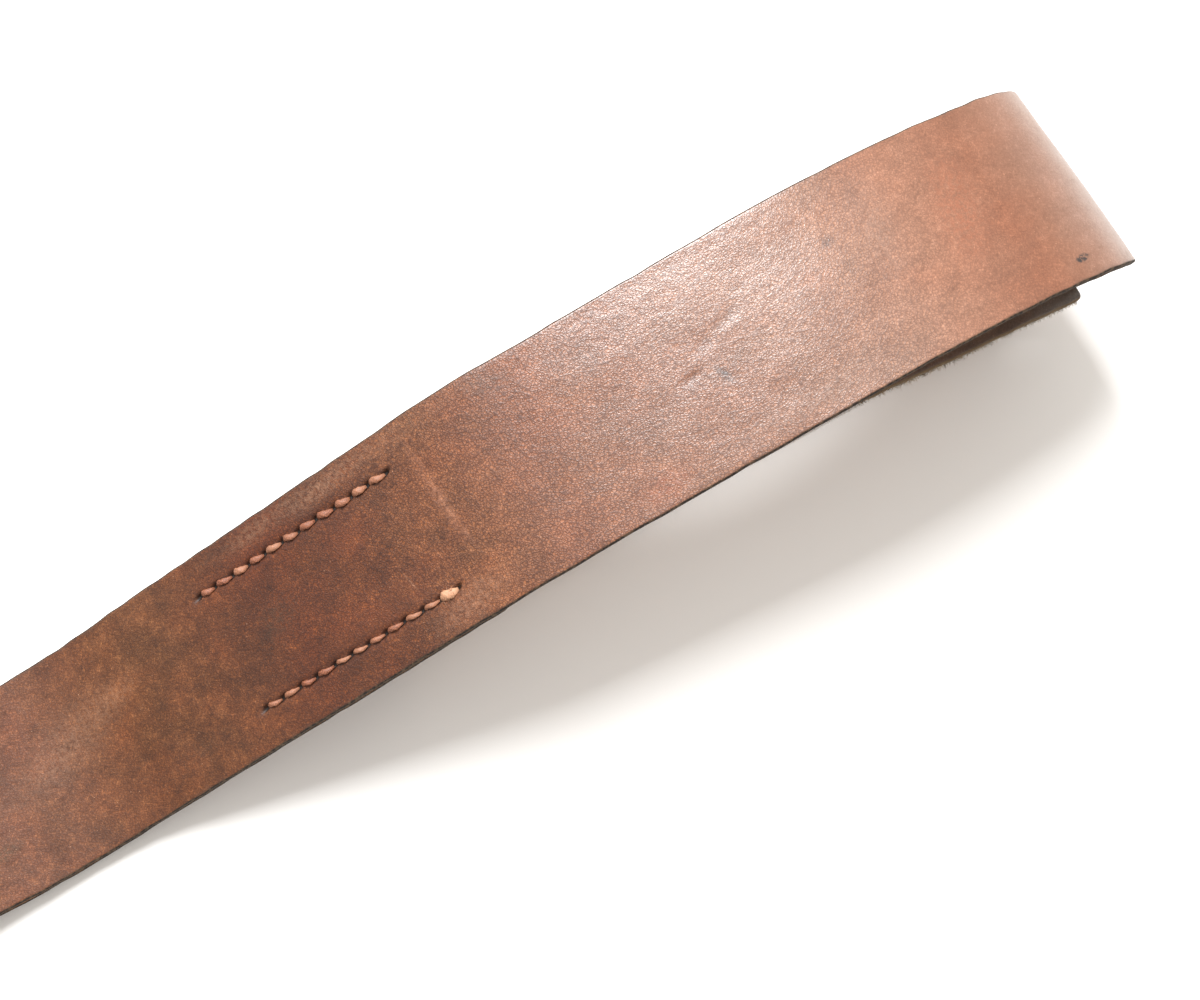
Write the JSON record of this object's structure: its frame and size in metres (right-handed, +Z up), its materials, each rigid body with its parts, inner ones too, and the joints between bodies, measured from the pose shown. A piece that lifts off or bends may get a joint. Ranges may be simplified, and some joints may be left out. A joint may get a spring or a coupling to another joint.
{
  "type": "guitar strap",
  "caption": "Wide leather shoulder strap in two lapped pieces with a stitched fold, a roller buckle and button holes at its ends.",
  "frame": {"origin": "on the surface that the strap lies on, under the middle of its length and width", "axes": "+X along the strap towards its rolled-up end, +Y across it, +Z up"},
  "size_m": [0.5985, 0.0616, 0.074],
  "materials": {
    "leather": "worn, waxed brown vegetable-tanned leather",
    "tail_leather": "worn brown vegetable-tanned leather",
    "keeper_leather": "darker brown leather with burnished edges",
    "thread": "waxed linen thread, tan",
    "brass": "dulled solid brass",
    "rivet_brass": "dulled brass"
  },
  "bodies": {
    "strap": {"shoulder_strap": "leather", "tail_strap": "tail_leather", "buckle_frame": "brass", "fixed_keeper": "keeper_leather", "rivet_posts": "rivet_brass", "rivet_caps": "rivet_brass", "far_stitches": "thread", "near_stitches": "thread"},
    "roller": {"buckle_roller": "brass"},
    "prong": {"buckle_prong": "brass"},
    "keeper": {"sliding_keeper": "keeper_leather"}
  },
  "joints": [
    {"name": "roller_spin", "type": "hinge", "parent": "strap", "child": "roller", "pos_m": [-0.15, 0, 0.0064], "axis": [0, 1, 0], "continuous": true},
    {"name": "prong_lift", "type": "hinge", "parent": "strap", "child": "prong", "pos_m": [-0.106, 0, 0.00805], "axis": [0, 1, 0], "range_deg": [0, 8]},
    {"name": "keeper_slide", "type": "slide", "parent": "strap", "child": "keeper", "axis": [1, 0, 0], "range_m": [-0.01, 0.008]}
  ]
}
